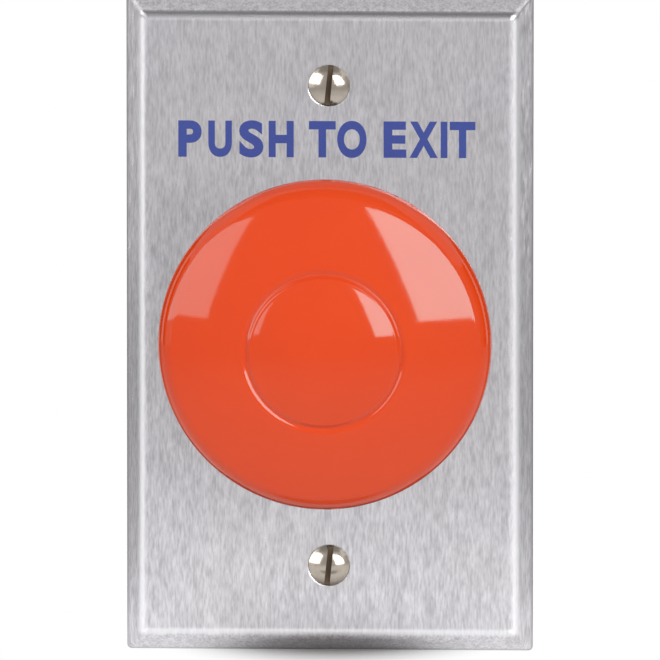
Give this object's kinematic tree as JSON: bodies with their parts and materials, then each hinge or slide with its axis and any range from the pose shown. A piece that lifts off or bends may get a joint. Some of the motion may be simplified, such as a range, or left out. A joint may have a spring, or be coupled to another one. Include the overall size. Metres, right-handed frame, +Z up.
{
  "type": "door exit button",
  "caption": "Wall-mounted push-to-exit station: bevelled steel wall plate with a large red mushroom button, guide bushing and a screw-terminal contact block behind.",
  "frame": {"origin": "centre of the wall plate on the wall plane, midway between the two mounting screws", "axes": "+Y into the wall, the way the button is pressed and the screws go in; -Y the front; +Z up along the plate's height; +X to the viewer's right"},
  "size_m": [0.0698, 0.0797, 0.1142],
  "materials": {
    "plate_steel": "brushed",
    "screw_steel": "polished",
    "button_red": "glossy",
    "black_plastic": "satin",
    "grey_plastic": "satin",
    "white_plastic": "satin",
    "bushing_metal": "satin",
    "plated_steel": "zinc plated",
    "spring_steel": "drawn wire",
    "black_rubber": "matt",
    "contact_brass": "bright"
  },
  "bodies": {
    "panel": {"wall_plate": "plate_steel", "mounting_screws": "screw_steel", "front_gasket": "black_rubber", "guide_bushing": "bushing_metal", "lock_washer": "plated_steel", "ring_nut": "bushing_metal", "stem_seal": "black_rubber", "block_adapter": "black_plastic", "adapter_set_screw": "plated_steel", "block_housing": "grey_plastic", "block_cover": "black_plastic", "block_screws": "plated_steel", "nc_terminal_upper": "contact_brass", "nc_terminal_lower": "contact_brass", "no_terminal_upper": "contact_brass", "no_terminal_lower": "contact_brass", "terminal_screws": "plated_steel", "terminal_clamps": "plated_steel"},
    "button": {"mushroom_cap": "button_red", "centre_cover": "button_red", "cap_screw": "plated_steel", "plunger": "black_plastic", "retaining_clip": "plated_steel", "return_spring": "spring_steel"},
    "carrier": {"contact_carrier": "white_plastic", "carrier_spring": "spring_steel", "nc_bridge_spring": "spring_steel", "no_bridge_spring": "spring_steel"},
    "closed_contact": {"nc_bridge": "contact_brass"},
    "open_contact": {"no_bridge": "contact_brass"}
  },
  "joints": [
    {"name": "button_press", "type": "slide", "parent": "panel", "child": "button", "axis": [0, 1, 0], "range_m": [0, 0.0055], "stiffness_N_per_m": 900, "springref_m": -0.0045, "deforming": ["return_spring"]},
    {"name": "carrier_follow", "type": "slide", "parent": "panel", "child": "carrier", "axis": [0, 1, 0], "range_m": [0, 0.0055], "deforming": ["carrier_spring"]},
    {"name": "closed_contact_lift", "type": "slide", "parent": "panel", "child": "closed_contact", "axis": [0, 1, 0], "range_m": [0, 0.004], "deforming": ["nc_bridge_spring"]},
    {"name": "open_contact_close", "type": "slide", "parent": "panel", "child": "open_contact", "axis": [0, 1, 0], "range_m": [0, 0.004], "deforming": ["no_bridge_spring"]}
  ],
  "couplings": [
    {"joint": "carrier_follow", "follows": "button_press", "ratio": 1},
    {"joint": "closed_contact_lift", "follows": "button_press", "ratio": 0.7272},
    {"joint": "open_contact_close", "follows": "button_press", "ratio": 0.7272}
  ]
}
